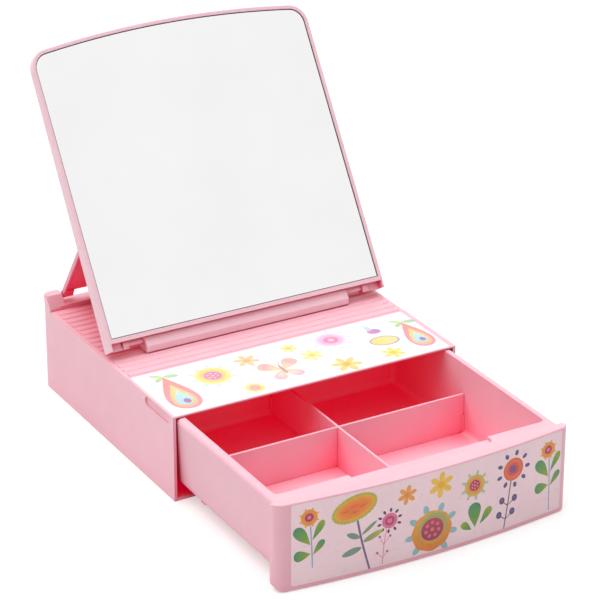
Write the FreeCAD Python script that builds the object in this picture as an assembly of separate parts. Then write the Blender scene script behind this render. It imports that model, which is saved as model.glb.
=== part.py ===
"""Children's tabletop vanity box: a pull-out drawer with dividers and a fold-up mirror lid.

Frame: X to the right, Y to the back, Z up, millimetres.
Origin: centre of the case footprint, on the table the box stands on.
The pose drawn is the open one: drawer pulled out, mirror leaning on its stand leg.
"""
import FreeCAD
import Part
import math
import os

V = FreeCAD.Vector
os.makedirs("parts", exist_ok=True)

# Case, the fixed housing
CASE_W = 250.0
CASE_D = 229.0
CASE_H = 71.0
CASE_WALL = 2.4
CASE_TOP_T = 1.2
CASE_EDGE_R = 3.0
CASE_REAR_R = 5.0
REAR_TOP_Z = 82.0
REAR_TOP_D = 8.5
REAR_RAMP_D = 14.5
REAR_RAMP_Z = 72.6
BASE_T = 2.4

# Ribbed mirror tray and printed zone of the case top
LABEL_ZONE_D = 75.5
RIB_PITCH = 8.4
RIB_COUNT = 16
RIB_H = 1.0
RIB_BASE_Z = 70.5
LABEL_T = 0.2

# Lid grip recess on both flanks of the case
GRIP_Y0 = 7.0
GRIP_Y1 = 46.0
GRIP_Z0 = 62.0
GRIP_DEPTH = 1.2

# Leg notch in the rear block
NOTCH_X = 111.5
NOTCH_Z = 74.0

# Hinge axes of the stand (Y, Z) and the leg angle above the horizontal
LEG_AXIS_Y = 109.0
AXIS_Z = 79.5
LEG_ANGLE = 55.7
LEG_LEN = 96.8
LEG_HALF_W = 110.0
LEG_T = 2.2
LEG_RIM = 1.9
LUG_R = 2.75
LUG_W = 9.0
PIN_R = 1.25
RUN_GAP = 0.05

# Mirror panel
MIRROR_TILT = 33.5
GLASS_Y = -3.35
GLASS_Z = 88.08
FRAME_W = 248.4
FRAME_TOP = 241.8
FRAME_BOTTOM = -9.5
BEZEL_BOTTOM = -3.5
BEZEL_W = 3.2
BEZEL_RISE = 1.1
FLANGE_T = 2.0
FLANGE_DEPTH_LOW = 11.5
FLANGE_DEPTH_TOP = 3.6
GLASS_T = 2.0
GLASS_LAP = 1.2
COVER_T = 1.8
TOP_ARC_R = 850.0
CORNER_R = 16.0

# Foot bar
FOOT_X0 = -92.5
FOOT_X1 = 90.5
FOOT_HEAD_R = 5.2
FOOT_FRONT_Y = -9.0
FOOT_CLEAR = 0.25
FOOT_PIN_R = 2.4
FOOT_LUG_X = 111.0
FOOT_LUG_W = 5.0

# Drawer
DRAWER_OUT = 146.5
RIM_Z = 69.0
FRONT_TOP_Z = 71.0
FRONT_BOTTOM_Z = 0.6
FRONT_SIDE_D = 9.3
FRONT_BOW = 9.1
FRONT_SKIN = 2.2
FRONT_POST_R = 8.0
FRONT_LOW_R = 6.0
FRONT_TOP_R = 0.9
TRAY_HALF_W = 121.6
TRAY_RIM_W = 6.4
TRAY_RIM_R = 3.4
TRAY_DRAFT = 3.0
TRAY_BOTTOM_Z = 8.4
TRAY_FLOOR_T = 1.8
TRAY_REAR_Y = 76.0
TRAY_FRONT_INNER = 9.0
TRAY_EDGE_R = 10.0
RUNNER_X = 82.0
RUNNER_W = 3.0
GRIP_X0 = -55.0
GRIP_X1 = 64.0
GRIP_D = 8.5
GRIP_DROP = 2.6

# Dividers
DIV_T = 2.0
DIV_TOP_Z = 44.0
CROSS_Y = -28.2
LONG_X = 1.5
HALF_LAP_GAP = 0.1

FRONT_Y = -CASE_D / 2.0
REAR_Y = CASE_D / 2.0
HALF_W = CASE_W / 2.0


def box(x0, x1, y0, y1, z0, z1):
    return Part.makeBox(x1 - x0, y1 - y0, z1 - z0, V(x0, y0, z0))


def prism_x(points, x0, x1):
    """Solid from (y, z) points, extruded along X."""
    loop = [V(x0, y, z) for y, z in points]
    face = Part.Face(Part.makePolygon(loop + [loop[0]]))
    return face.extrude(V(x1 - x0, 0, 0))


def prism_y(points, y0, y1):
    """Solid from (x, z) points, extruded along Y."""
    loop = [V(x, y0, z) for x, z in points]
    face = Part.Face(Part.makePolygon(loop + [loop[0]]))
    return face.extrude(V(0, y1 - y0, 0))


def rod_x(radius, x0, x1, y, z):
    return Part.makeCylinder(radius, x1 - x0, V(x0, y, z), V(1, 0, 0))


def edges_where(shape, test):
    return [edge for edge in shape.Edges if test(edge)]


def is_vertical(edge, min_len=5.0):
    a = edge.Vertexes[0].Point
    b = edge.Vertexes[-1].Point
    return abs(a.z - b.z) > min_len and abs(a.x - b.x) < 0.01 and abs(a.y - b.y) < 0.01


def case_profile(inset, top_drop, z_low):
    """Side outline of the housing, shrunk by a wall thickness."""
    front = FRONT_Y - (1.0 if inset else 0.0)
    return [
        (front, z_low),
        (REAR_Y - inset, z_low),
        (REAR_Y - inset, REAR_TOP_Z - top_drop),
        (REAR_Y - REAR_TOP_D + inset * 0.6, REAR_TOP_Z - top_drop),
        (REAR_Y - REAR_RAMP_D + inset * 0.6, REAR_RAMP_Z - top_drop),
        (REAR_Y - REAR_RAMP_D + inset * 0.6, RIB_BASE_Z - top_drop),
        (FRONT_Y + LABEL_ZONE_D, RIB_BASE_Z - top_drop),
        (FRONT_Y + LABEL_ZONE_D, CASE_H - top_drop),
        (front, CASE_H - top_drop),
    ]


def rib(y_mid):
    """One low rounded ridge across the mirror tray."""
    top = RIB_BASE_Z + RIB_H
    low = RIB_BASE_Z - 0.3
    half = RIB_PITCH * 0.34
    points = [
        (y_mid - half, low),
        (y_mid + half, low),
        (y_mid + half * 0.75, top - 0.35),
        (y_mid + half * 0.35, top),
        (y_mid - half * 0.35, top),
        (y_mid - half * 0.75, top - 0.35),
    ]
    return prism_x(points, -HALF_W + 3.4, HALF_W - 3.4)


def grip_recess(side):
    """Shallow finger recess just under the top edge of one flank."""
    x_in = side * (HALF_W - GRIP_DEPTH)
    x_out = side * (HALF_W + 1.0)
    body = box(min(x_in, x_out), max(x_in, x_out), FRONT_Y + GRIP_Y0, FRONT_Y + GRIP_Y1,
               GRIP_Z0, CASE_H - 1.6)
    along_x = edges_where(body, lambda e: abs(e.Vertexes[0].Point.x - e.Vertexes[-1].Point.x) > 1.0)
    return body.makeFillet(3.4, along_x)


def rear_block_ends():
    """Solid ends of the rear block that carry the leg pins."""
    ends = []
    for side in (-1, 1):
        x_in = side * NOTCH_X
        x_out = side * (HALF_W - 1.0)
        ends.append(prism_x([
            (REAR_Y - 1.0, NOTCH_Z),
            (REAR_Y - 1.0, REAR_TOP_Z - 0.8),
            (REAR_Y - REAR_TOP_D, REAR_TOP_Z - 0.8),
            (REAR_Y - REAR_TOP_D, NOTCH_Z),
        ], min(x_in, x_out), max(x_in, x_out)))
    return ends


def make_case_shell():
    outer = prism_x(case_profile(0.0, 0.0, 0.0), -HALF_W, HALF_W)
    rear_verticals = edges_where(
        outer, lambda e: is_vertical(e, 40.0) and abs(e.Vertexes[0].Point.y - REAR_Y) < 0.1)
    outer = outer.makeFillet(CASE_REAR_R, rear_verticals)
    inner = prism_x(case_profile(CASE_WALL, CASE_TOP_T, -1.0), -HALF_W + CASE_WALL, HALF_W - CASE_WALL)
    shell = outer.cut(inner)
    floor_ledge = box(-NOTCH_X - 4.0, NOTCH_X + 4.0, REAR_Y - REAR_RAMP_D, REAR_Y - 0.2,
                      NOTCH_Z - CASE_TOP_T, NOTCH_Z)
    shell = shell.fuse([rib(FRONT_Y + LABEL_ZONE_D + 5.2 + i * RIB_PITCH) for i in range(RIB_COUNT)])
    shell = shell.fuse(rear_block_ends())
    notch = box(-NOTCH_X, NOTCH_X, REAR_Y - REAR_RAMP_D - 5.0, REAR_Y + 1.0, NOTCH_Z, REAR_TOP_Z + 1.0)
    shell = shell.cut(notch)
    shell = shell.fuse(floor_ledge)
    shell = shell.cut([grip_recess(-1), grip_recess(1)])
    shell = shell.cut([rod_x(PIN_R, -NOTCH_X - 7.0, -NOTCH_X + 1.0, LEG_AXIS_Y, AXIS_Z),
                       rod_x(PIN_R, NOTCH_X - 1.0, NOTCH_X + 7.0, LEG_AXIS_Y, AXIS_Z)])
    return shell.removeSplitter()


def make_base_plate():
    x = HALF_W - CASE_WALL
    plate = box(-x, x, FRONT_Y, REAR_Y - CASE_WALL, 0.0, BASE_T)
    return plate


def make_top_label():
    return box(-HALF_W + 2.2, HALF_W - 4.4, FRONT_Y + 1.2, FRONT_Y + LABEL_ZONE_D - 0.6,
               CASE_H, CASE_H + LABEL_T)


def front_outline(inset):
    """Bowed plan outline of the drawer front, as a closed wire at Z = 0."""
    y_back = FRONT_Y - DRAWER_OUT
    y_side = y_back - FRONT_SIDE_D + inset
    y_mid = y_side - FRONT_BOW
    x = HALF_W - inset
    back = y_back - inset
    arc = Part.Arc(V(-x, y_side, 0), V(0, y_mid, 0), V(x, y_side, 0)).toShape()
    right = Part.makeLine(V(x, y_side, 0), V(x, back, 0))
    rear = Part.makeLine(V(x, back, 0), V(-x, back, 0))
    left = Part.makeLine(V(-x, back, 0), V(-x, y_side, 0))
    return Part.Wire([arc, right, rear, left])


def front_prism(inset, z0, z1):
    wire = front_outline(inset)
    wire.translate(V(0, 0, z0))
    return Part.Face(wire).extrude(V(0, 0, z1 - z0))


def make_front_block():
    """Bowed drawer front: rounded corners, hollow and open underneath."""
    block = front_prism(0.0, FRONT_BOTTOM_Z, FRONT_TOP_Z)
    y_side = FRONT_Y - DRAWER_OUT - FRONT_SIDE_D
    corners = edges_where(
        block, lambda e: is_vertical(e, 40.0) and abs(e.Vertexes[0].Point.y - y_side) < 0.1)
    block = block.makeFillet(FRONT_POST_R, corners)
    elevation = box(-HALF_W, HALF_W, y_side - 30.0, y_side + 30.0, FRONT_BOTTOM_Z, FRONT_TOP_Z)
    low = edges_where(elevation, lambda e: max(v.Point.z for v in e.Vertexes) < FRONT_BOTTOM_Z + 0.1
                      and abs(e.Vertexes[0].Point.x - e.Vertexes[-1].Point.x) < 0.1)
    block = block.common(elevation.makeFillet(FRONT_LOW_R, low))
    slope_y0 = FRONT_Y - DRAWER_OUT
    wedge = prism_x([(slope_y0 + 0.1, RIM_Z), (slope_y0 + 0.1, FRONT_TOP_Z + 1.0),
                     (slope_y0 - FRONT_SIDE_D, FRONT_TOP_Z + 1.0),
                     (slope_y0 - FRONT_SIDE_D, FRONT_TOP_Z)], -HALF_W - 1.0, HALF_W + 1.0)
    block = block.cut(wedge)
    brow = edges_where(block, lambda e: min(v.Point.z for v in e.Vertexes) > FRONT_TOP_Z - 0.9
                       and max(v.Point.y for v in e.Vertexes) < slope_y0 - 2.0
                       and e.BoundBox.YMin < y_side - 1.0)
    block = block.makeFillet(FRONT_TOP_R, brow)
    hollow = front_prism(FRONT_SKIN, FRONT_BOTTOM_Z - 1.0, RIM_Z - FRONT_SKIN)
    return block.cut(hollow)


def tray_section(z_low, z_high, x_top, x_low):
    return [(-x_low, z_low), (x_low, z_low), (x_top, z_high), (-x_top, z_high)]


def make_tray_shell():
    """Drawer body behind the front: drafted outside, straight inside, rounded along the floor."""
    y_front = FRONT_Y - DRAWER_OUT
    y_rear = TRAY_REAR_Y - REAR_Y
    outer = prism_y(tray_section(TRAY_BOTTOM_Z, RIM_Z, TRAY_HALF_W, TRAY_HALF_W - TRAY_DRAFT),
                    y_front, y_rear)
    low = edges_where(outer, lambda e: max(v.Point.z for v in e.Vertexes) < TRAY_BOTTOM_Z + 0.1
                      and abs(e.Vertexes[0].Point.x - e.Vertexes[-1].Point.x) < 0.1)
    outer = outer.makeFillet(TRAY_EDGE_R, low)
    rim = edges_where(outer, lambda e: min(v.Point.z for v in e.Vertexes) > RIM_Z - 0.1
                      and abs(e.Vertexes[0].Point.x - e.Vertexes[-1].Point.x) < 0.1)
    outer = outer.makeFillet(TRAY_RIM_R, rim)
    x_in = TRAY_HALF_W - TRAY_RIM_W
    inner = box(-x_in, x_in, y_front + TRAY_FRONT_INNER, y_rear - 2.0,
                TRAY_BOTTOM_Z + TRAY_FLOOR_T, RIM_Z + 1.0)
    low_in = edges_where(inner, lambda e: max(v.Point.z for v in e.Vertexes) < TRAY_BOTTOM_Z + 3.0)
    posts = edges_where(inner, lambda e: is_vertical(e, 40.0))
    inner = inner.makeFillet(4.0, low_in + posts)
    return outer.cut(inner)


def tray_side_slots():
    """Moulding slots that leave the thick side walls hollow, open below."""
    y0 = FRONT_Y - DRAWER_OUT + 4.0
    y1 = TRAY_REAR_Y - REAR_Y - 2.0
    slots = []
    for side in (-1, 1):
        x_a = side * (TRAY_HALF_W - 1.8)
        x_b = side * (TRAY_HALF_W - TRAY_RIM_W + 1.6)
        x_c = side * (TRAY_HALF_W - TRAY_DRAFT - 1.4)
        slots.append(prism_y([(x_a, RIM_Z - 2.0), (x_b, RIM_Z - 2.0), (x_b, TRAY_BOTTOM_Z - 1.0),
                              (x_c, TRAY_BOTTOM_Z - 1.0)], y0, y1))
    return slots


def front_wall_slot():
    """Hollow between the tray's front wall and the bowed front, open below."""
    y_front = FRONT_Y - DRAWER_OUT
    x = TRAY_HALF_W - 12.0
    return box(-x, x, y_front - FRONT_SKIN - 1.0, y_front + TRAY_FRONT_INNER - 1.8,
               -1.0, RIM_Z - GRIP_DROP - 2.0)


def finger_ledge():
    """Rounded ledge let into the rim behind the front, for pulling the drawer."""
    y_edge = FRONT_Y - DRAWER_OUT + TRAY_FRONT_INNER
    body = box(GRIP_X0, GRIP_X1, y_edge - GRIP_D, y_edge + 5.0, RIM_Z - GRIP_DROP, FRONT_TOP_Z + 1.0)
    posts = edges_where(body, lambda e: is_vertical(e, 1.0) and e.Vertexes[0].Point.y < y_edge)
    return body.makeFillet(4.2, posts)


def divider_guides():
    """Pairs of upright ribs on the walls that hold the divider ends."""
    ribs = []
    z0 = TRAY_BOTTOM_Z + 1.0
    x_wall = TRAY_HALF_W - TRAY_RIM_W
    y_wall = FRONT_Y - DRAWER_OUT + TRAY_FRONT_INNER
    y_back = TRAY_REAR_Y - REAR_Y - 2.0
    for off in (-1, 1):
        y0 = CROSS_Y - REAR_Y + off * (DIV_T / 2.0 + 0.15)
        y1 = y0 + off * 1.4
        ribs.append(box(x_wall - 2.2, x_wall + 0.6, min(y0, y1), max(y0, y1), z0, 26.0))
        ribs.append(box(-x_wall - 0.6, -x_wall + 2.2, min(y0, y1), max(y0, y1), z0, 26.0))
        x0 = LONG_X + off * (DIV_T / 2.0 + 0.15)
        x1 = x0 + off * 1.4
        ribs.append(box(min(x0, x1), max(x0, x1), y_wall - 0.6, y_wall + 2.2, z0, 26.0))
        ribs.append(box(min(x0, x1), max(x0, x1), y_back - 2.2, y_back + 0.6, z0, 26.0))
    return ribs


def tray_runners():
    """Two long skids under the tray that ride on the base plate."""
    y0 = FRONT_Y - DRAWER_OUT + 14.0
    y1 = TRAY_REAR_Y - REAR_Y
    low = BASE_T + 0.15
    return [box(side * RUNNER_X - RUNNER_W / 2.0, side * RUNNER_X + RUNNER_W / 2.0, y0, y1,
                low, TRAY_BOTTOM_Z + 0.6) for side in (-1, 1)]


def make_drawer_tray():
    tray = make_tray_shell().cut(tray_side_slots())
    tray = tray.fuse([make_front_block()] + tray_runners() + divider_guides())
    tray = tray.cut([finger_ledge(), front_wall_slot()])
    return tray.removeSplitter()


def make_drawer_label():
    """Printed sheet on the bowed front, a little short of its edges."""
    outer = front_prism(-LABEL_T, 3.8, FRONT_TOP_Z - 1.4)
    inner = front_prism(0.0, 0.0, FRONT_TOP_Z + 1.0)
    sheet = outer.cut(inner)
    y_back = FRONT_Y - DRAWER_OUT
    window = box(-HALF_W + 11.3, HALF_W - 7.2, y_back - 40.0, y_back - FRONT_SIDE_D + 1.5, 0.0, CASE_H)
    return sheet.common(window)


def make_cross_divider():
    """Divider across the drawer, notched from above at the crossing and relieved at both ends."""
    x = TRAY_HALF_W - TRAY_RIM_W - 0.15
    z0 = TRAY_BOTTOM_Z + TRAY_FLOOR_T
    y = CROSS_Y - REAR_Y
    points = [(-x + 4.4, z0), (x - 4.4, z0), (x - 1.4, z0 + 1.6), (x, z0 + 4.6), (x, DIV_TOP_Z),
              (-x, DIV_TOP_Z), (-x, z0 + 4.6), (-x + 1.4, z0 + 1.6)]
    plate = prism_y(points, y - DIV_T / 2.0, y + DIV_T / 2.0)
    half = DIV_T / 2.0 + HALF_LAP_GAP
    slot = box(LONG_X - half, LONG_X + half, y - 5.0, y + 5.0, (DIV_TOP_Z + z0) / 2.0, DIV_TOP_Z + 1.0)
    return plate.cut(slot)


def make_long_divider():
    """Divider from front to back, notched from below at the crossing."""
    y0 = FRONT_Y - DRAWER_OUT + TRAY_FRONT_INNER + 0.15
    y1 = TRAY_REAR_Y - REAR_Y - 2.0 - 0.15
    z0 = TRAY_BOTTOM_Z + TRAY_FLOOR_T
    points = [(y0 + 4.4, z0), (y1 - 4.4, z0), (y1 - 1.4, z0 + 1.6), (y1, z0 + 4.6), (y1, DIV_TOP_Z),
              (y0, DIV_TOP_Z), (y0, z0 + 4.6), (y0 + 1.4, z0 + 1.6)]
    plate = prism_x(points, LONG_X - DIV_T / 2.0, LONG_X + DIV_T / 2.0)
    y = CROSS_Y - REAR_Y
    half = DIV_T / 2.0 + HALF_LAP_GAP
    slot = box(LONG_X - 5.0, LONG_X + 5.0, y - half, y + half, z0 - 1.0, (DIV_TOP_Z + z0) / 2.0)
    return plate.cut(slot)


def place_leg(shape):
    """Leg coordinates: Y along the leg from the case hinge, Z out of its front face."""
    shape.rotate(V(0, 0, 0), V(1, 0, 0), 180.0 - LEG_ANGLE)
    shape.translate(V(0, LEG_AXIS_Y, AXIS_Z))
    return shape


def make_stand_leg():
    plate = box(-LEG_HALF_W, LEG_HALF_W, 4.2, LEG_LEN - 4.4, -LEG_RIM, -LEG_RIM + LEG_T)
    rim_parts = [
        box(-LEG_HALF_W, -LEG_HALF_W + 2.0, 4.2, LEG_LEN - 4.4, -LEG_RIM, LEG_RIM),
        box(LEG_HALF_W - 2.0, LEG_HALF_W, 4.2, LEG_LEN - 4.4, -LEG_RIM, LEG_RIM),
        box(-LEG_HALF_W, LEG_HALF_W, LEG_LEN - 6.4, LEG_LEN - 4.4, -LEG_RIM, LEG_RIM),
    ]
    rim_parts += [box(x - 0.9, x + 0.9, 4.2, LEG_LEN - 4.4, -LEG_RIM, LEG_RIM - 1.2)
                  for x in (-55.0, 0.0, 55.0)]
    lugs = []
    for y_axis, y_root in ((0.0, 6.0), (LEG_LEN, LEG_LEN - 6.0)):
        for side in (-1, 1):
            x_a = side * LEG_HALF_W
            x_b = side * (LEG_HALF_W - LUG_W)
            x0, x1 = min(x_a, x_b), max(x_a, x_b)
            lugs.append(rod_x(LUG_R, x0, x1, y_axis, 0.0))
            lugs.append(box(x0, x1, min(y_axis, y_root), max(y_axis, y_root), -LEG_RIM, LEG_RIM))
    leg = plate.fuse(rim_parts + lugs)
    holes = []
    for side in (-1, 1):
        x_a = side * (LEG_HALF_W + 1.0)
        x_b = side * (LEG_HALF_W - LUG_W - 1.0)
        holes.append(rod_x(PIN_R + RUN_GAP, min(x_a, x_b), max(x_a, x_b), 0.0, 0.0))
        holes.append(rod_x(PIN_R, min(x_a, x_b), max(x_a, x_b), LEG_LEN, 0.0))
    return place_leg(leg.cut(holes).removeSplitter())


def make_leg_pin(side):
    x_a = side * (NOTCH_X + 7.0)
    x_b = side * (LEG_HALF_W - LUG_W)
    return rod_x(PIN_R, min(x_a, x_b), max(x_a, x_b), LEG_AXIS_Y, AXIS_Z)


def place_mirror(shape):
    """Mirror coordinates: Y up the glass from its bottom edge, Z out of its face."""
    shape.rotate(V(0, 0, 0), V(1, 0, 0), 90.0 - MIRROR_TILT)
    shape.translate(V(0, GLASS_Y, GLASS_Z))
    return shape


def to_mirror(y, z):
    """(Y, Z) of the common frame as mirror coordinates (up the glass, out of the glass)."""
    tilt = math.radians(MIRROR_TILT)
    dy = y - GLASS_Y
    dz = z - GLASS_Z
    return dy * math.sin(tilt) + dz * math.cos(tilt), -dy * math.cos(tilt) + dz * math.sin(tilt)


def pivot_point():
    """Upper pivot of the leg, in mirror coordinates."""
    angle = math.radians(LEG_ANGLE)
    return to_mirror(LEG_AXIS_Y - LEG_LEN * math.cos(angle), AXIS_Z + LEG_LEN * math.sin(angle))


def foot_point():
    """Foot bar pivot, in mirror coordinates: the leg and the lower panel form an isosceles."""
    angle = math.radians(LEG_ANGLE)
    return to_mirror(LEG_AXIS_Y - 2.0 * LEG_LEN * math.cos(angle), AXIS_Z)


def foot_axis_y():
    return LEG_AXIS_Y - 2.0 * LEG_LEN * math.cos(math.radians(LEG_ANGLE))


def panel_outline(inset, bottom):
    """Arched panel outline in mirror coordinates: straight sides, arched top, rounded top corners."""
    half = FRAME_W / 2.0 - inset
    top = FRAME_TOP - inset
    sag = TOP_ARC_R - math.sqrt(TOP_ARC_R ** 2 - half ** 2)
    arc = Part.Arc(V(-half, top - sag, 0), V(0, top, 0), V(half, top - sag, 0)).toShape()
    right = Part.makeLine(V(half, top - sag, 0), V(half, bottom, 0))
    low = Part.makeLine(V(half, bottom, 0), V(-half, bottom, 0))
    left = Part.makeLine(V(-half, bottom, 0), V(-half, top - sag, 0))
    return Part.Wire([arc, right, low, left])


def panel_prism(inset, bottom, z0, z1, radius):
    wire = panel_outline(inset, bottom)
    wire.translate(V(0, 0, z0))
    body = Part.Face(wire).extrude(V(0, 0, z1 - z0))
    top = FRAME_TOP - inset - 20.0
    corners = [e for e in body.Edges if abs(e.Vertexes[0].Point.z - e.Vertexes[-1].Point.z) > 0.1
               and e.Vertexes[0].Point.y > top]
    return body.makeFillet(radius, corners)


def flange_wedge():
    """Everything behind the sloping rear edge of the flanges."""
    y0 = FRAME_BOTTOM - 1.0
    y1 = FRAME_TOP + 1.0
    return prism_x([(y0, -FLANGE_DEPTH_LOW), (y1, -FLANGE_DEPTH_TOP), (y1, -60.0), (y0, -60.0)],
                   -HALF_W - 5.0, HALF_W + 5.0)


def make_mirror_frame():
    outer = panel_prism(0.0, FRAME_BOTTOM, -FLANGE_DEPTH_LOW, BEZEL_RISE, CORNER_R)
    outer = outer.cut(flange_wedge())
    front_edges = edges_where(outer, lambda e: min(v.Point.z for v in e.Vertexes) > BEZEL_RISE - 0.01
                              and max(v.Point.y for v in e.Vertexes) > FRAME_BOTTOM + 0.5)
    outer = outer.makeFillet(0.9, front_edges)
    opening = panel_prism(BEZEL_W, 0.0, -1.0, BEZEL_RISE + 1.0, CORNER_R - BEZEL_W)
    seat = panel_prism(BEZEL_W - GLASS_LAP, -GLASS_LAP, -40.0, 0.0, CORNER_R - BEZEL_W + GLASS_LAP)
    frame = outer.cut([opening, seat])
    half_in = FRAME_W / 2.0 - FLANGE_T
    underside = box(-half_in, half_in, FRAME_BOTTOM - 1.0, BEZEL_BOTTOM, -40.0, BEZEL_RISE + 1.0)
    corner_x = FOOT_LUG_X - FOOT_LUG_W
    behind_lip = box(-corner_x, corner_x, FRAME_BOTTOM - 1.0, 0.0, -40.0, -GLASS_T)
    frame = frame.cut([underside, behind_lip])
    foot_y, foot_z = foot_point()
    corners = []
    for side in (-1, 1):
        x_out = side * (half_in + 0.5)
        x_lug = side * (FOOT_LUG_X - FOOT_LUG_W)
        x_wall = side * FOOT_LUG_X
        corners.append(box(min(x_out, x_wall), max(x_out, x_wall), FRAME_BOTTOM, -GLASS_LAP,
                           -FLANGE_DEPTH_LOW + 0.4, -5.4))
        lug = rod_x(4.4, min(x_lug, x_wall), max(x_lug, x_wall), foot_y, foot_z)
        lug = lug.fuse(box(min(x_lug, x_wall), max(x_lug, x_wall), foot_y - 4.1, -GLASS_LAP,
                           -FLANGE_DEPTH_LOW + 0.4, -GLASS_T - COVER_T - 0.3))
        corners.append(lug)
    frame = frame.fuse(corners)
    bore = rod_x(FOOT_PIN_R + RUN_GAP, -FOOT_LUG_X - 0.5, FOOT_LUG_X + 0.5, foot_y, foot_z)
    frame = frame.cut(bore)
    return place_mirror(frame.removeSplitter())


def make_mirror_glass():
    body = panel_prism(BEZEL_W - GLASS_LAP + 0.15, -GLASS_LAP + 0.15, -GLASS_T, 0.0,
                       CORNER_R - BEZEL_W + GLASS_LAP)
    return place_mirror(body)


def make_mirror_back_cover():
    """Panel behind the glass, with the two lugs of the upper pivot."""
    z1 = -GLASS_T
    z0 = z1 - COVER_T
    cover = panel_prism(BEZEL_W - GLASS_LAP + 0.1, -GLASS_LAP + 0.9, z0, z1,
                        CORNER_R - BEZEL_W + GLASS_LAP)
    p_y, p_z = pivot_point()
    lugs = []
    for side in (-1, 1):
        x_a = side * (LEG_HALF_W + 0.4)
        x_b = side * (LEG_HALF_W + 5.4)
        x0, x1 = min(x_a, x_b), max(x_a, x_b)
        lugs.append(rod_x(3.2, x0, x1, p_y, p_z))
        lugs.append(box(x0, x1, p_y - 3.2, p_y + 3.2, p_z, z0 + 0.2))
    cover = cover.fuse(lugs)
    bore = rod_x(PIN_R + RUN_GAP, -HALF_W + 2.0, HALF_W - 2.0, p_y, p_z)
    return place_mirror(cover.cut(bore).removeSplitter())


def make_mirror_pin(side):
    angle = math.radians(LEG_ANGLE)
    y = LEG_AXIS_Y - LEG_LEN * math.cos(angle)
    z = AXIS_Z + LEG_LEN * math.sin(angle)
    x_a = side * (LEG_HALF_W - LUG_W)
    x_b = side * (LEG_HALF_W + 5.4)
    return rod_x(PIN_R, min(x_a, x_b), max(x_a, x_b), y, z)


def make_foot_bar():
    """Bar the mirror stands on: round head about its pins, toe down to the ribs."""
    y = foot_axis_y()
    z = AXIS_Z
    sole = RIB_BASE_Z + RIB_H + FOOT_CLEAR
    knee = (FOOT_FRONT_Y + 0.5, 77.6)
    a = math.radians(125.0)
    tangent = (y + FOOT_HEAD_R * math.cos(a), z + FOOT_HEAD_R * math.sin(a))
    points = [(FOOT_FRONT_Y, sole), (y + FOOT_HEAD_R, sole), (y + FOOT_HEAD_R, z), (y, z), tangent, knee]
    body = prism_x(points, FOOT_X0, FOOT_X1)
    body = body.fuse(rod_x(FOOT_HEAD_R, FOOT_X0, FOOT_X1, y, z)).removeSplitter()
    toe = edges_where(body, lambda e: e.Vertexes[0].Point.y < FOOT_FRONT_Y + 0.6
                      and abs(e.Vertexes[0].Point.x - e.Vertexes[-1].Point.x) > 50.0)
    body = body.makeFillet(1.4, toe)
    pins = [rod_x(FOOT_PIN_R, -FOOT_LUG_X, FOOT_X0 + 1.0, y, z),
            rod_x(FOOT_PIN_R, FOOT_X1 - 1.0, FOOT_LUG_X, y, z)]
    return body.fuse(pins).removeSplitter()


NODES = {
    "case_shell": make_case_shell(),
    "base_plate": make_base_plate(),
    "top_label": make_top_label(),
    "drawer_tray": make_drawer_tray(),
    "drawer_label": make_drawer_label(),
    "cross_divider": make_cross_divider(),
    "long_divider": make_long_divider(),
    "stand_leg": make_stand_leg(),
    "leg_pin_left": make_leg_pin(-1),
    "leg_pin_right": make_leg_pin(1),
    "mirror_frame": make_mirror_frame(),
    "mirror_glass": make_mirror_glass(),
    "mirror_back_cover": make_mirror_back_cover(),
    "mirror_pin_left": make_mirror_pin(-1),
    "mirror_pin_right": make_mirror_pin(1),
    "foot_bar": make_foot_bar(),
}

for name, shape in NODES.items():
    shape.exportStep("parts/" + name + ".step")
    bb = shape.BoundBox
    print(name, shape.isValid(), len(shape.Solids), round(shape.Volume),
          [round(v, 1) for v in (bb.XMin, bb.XMax, bb.YMin, bb.YMax, bb.ZMin, bb.ZMax)])
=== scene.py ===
"""Children's vanity box with a mirror: materials, printed labels and mirror edge around its frame."""
import math

import bpy
from mathutils import Matrix, Vector


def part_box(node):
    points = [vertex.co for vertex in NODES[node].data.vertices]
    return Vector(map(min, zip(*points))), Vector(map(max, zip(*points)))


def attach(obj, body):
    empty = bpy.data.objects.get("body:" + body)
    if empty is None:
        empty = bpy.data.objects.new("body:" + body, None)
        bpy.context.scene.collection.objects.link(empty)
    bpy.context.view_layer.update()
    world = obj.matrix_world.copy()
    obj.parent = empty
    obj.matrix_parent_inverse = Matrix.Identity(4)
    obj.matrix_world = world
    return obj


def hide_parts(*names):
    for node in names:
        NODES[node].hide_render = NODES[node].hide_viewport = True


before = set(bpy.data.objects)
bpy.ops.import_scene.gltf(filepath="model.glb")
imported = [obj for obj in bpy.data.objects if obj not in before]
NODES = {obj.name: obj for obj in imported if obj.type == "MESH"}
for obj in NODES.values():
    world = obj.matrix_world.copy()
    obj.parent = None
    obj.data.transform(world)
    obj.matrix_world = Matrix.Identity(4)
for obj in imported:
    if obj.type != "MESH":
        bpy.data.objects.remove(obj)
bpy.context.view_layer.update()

MM = 0.001
scene = bpy.context.scene


# ---------------------------------------------------------------- camera, floor and light

CAMERA_TARGET = Vector((6.83, -74.5, 121.51)) * MM
CAMERA_AZIMUTH = -29.96
CAMERA_ELEVATION = 24.82
CAMERA_ROLL = 0.14
CAMERA_DISTANCE = 2.0781
CAMERA_LENS = 161.9
CAMERA_SENSOR = 36.0
CAMERA_REACH = 60.0


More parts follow.
